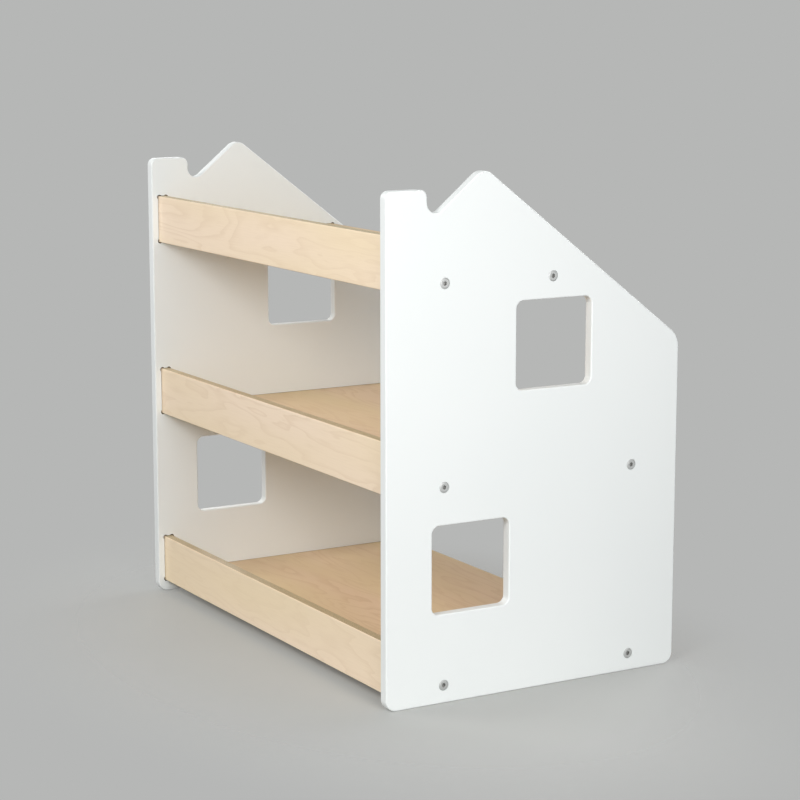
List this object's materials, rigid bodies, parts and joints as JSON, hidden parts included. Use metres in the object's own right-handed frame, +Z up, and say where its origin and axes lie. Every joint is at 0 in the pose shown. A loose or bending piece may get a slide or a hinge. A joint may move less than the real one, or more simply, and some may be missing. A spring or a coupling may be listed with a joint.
{
  "type": "house-shaped bookcase",
  "caption": "Low open bookcase for a child's room: house-shaped side panels with a chimney and square windows carry plywood shelves with raised front rails.",
  "frame": {"origin": "on the floor, under the middle of the bookcase", "axes": "+X to the right-hand side panel, seen from the front; +Y to the back; +Z up"},
  "size_m": [0.77, 0.485, 0.734],
  "materials": {
    "white_board": "smooth satin white lacquer on fibreboard",
    "birch_plywood": "birch plywood under a clear matt varnish",
    "zinc_steel": "bright zinc plating",
    "beech": "plain turned beech"
  },
  "bodies": {
    "root": {"left_panel": "white_board", "right_panel": "white_board", "bottom_shelf": "birch_plywood", "middle_shelf": "birch_plywood", "top_shelf": "birch_plywood", "bottom_rail": "birch_plywood", "middle_rail": "birch_plywood", "top_rail": "birch_plywood", "bottom_left_front_bolt": "zinc_steel", "bottom_left_rear_bolt": "zinc_steel", "bottom_right_front_bolt": "zinc_steel", "bottom_right_rear_bolt": "zinc_steel", "middle_left_front_bolt": "zinc_steel", "middle_left_rear_bolt": "zinc_steel", "middle_right_front_bolt": "zinc_steel", "middle_right_rear_bolt": "zinc_steel", "top_left_front_bolt": "zinc_steel", "top_left_rear_bolt": "zinc_steel", "top_right_front_bolt": "zinc_steel", "top_right_rear_bolt": "zinc_steel", "bottom_left_front_nut": "zinc_steel", "bottom_left_rear_nut": "zinc_steel", "bottom_right_front_nut": "zinc_steel", "bottom_right_rear_nut": "zinc_steel", "middle_left_front_nut": "zinc_steel", "middle_left_rear_nut": "zinc_steel", "middle_right_front_nut": "zinc_steel", "middle_right_rear_nut": "zinc_steel", "top_left_front_nut": "zinc_steel", "top_left_rear_nut": "zinc_steel", "top_right_front_nut": "zinc_steel", "top_right_rear_nut": "zinc_steel", "bottom_dowel_1": "beech", "bottom_dowel_2": "beech", "bottom_dowel_3": "beech", "bottom_dowel_4": "beech", "middle_dowel_1": "beech", "middle_dowel_2": "beech", "middle_dowel_3": "beech", "middle_dowel_4": "beech", "top_dowel_1": "beech", "top_dowel_2": "beech", "top_dowel_3": "beech", "top_dowel_4": "beech"}
  },
  "joints": []
}
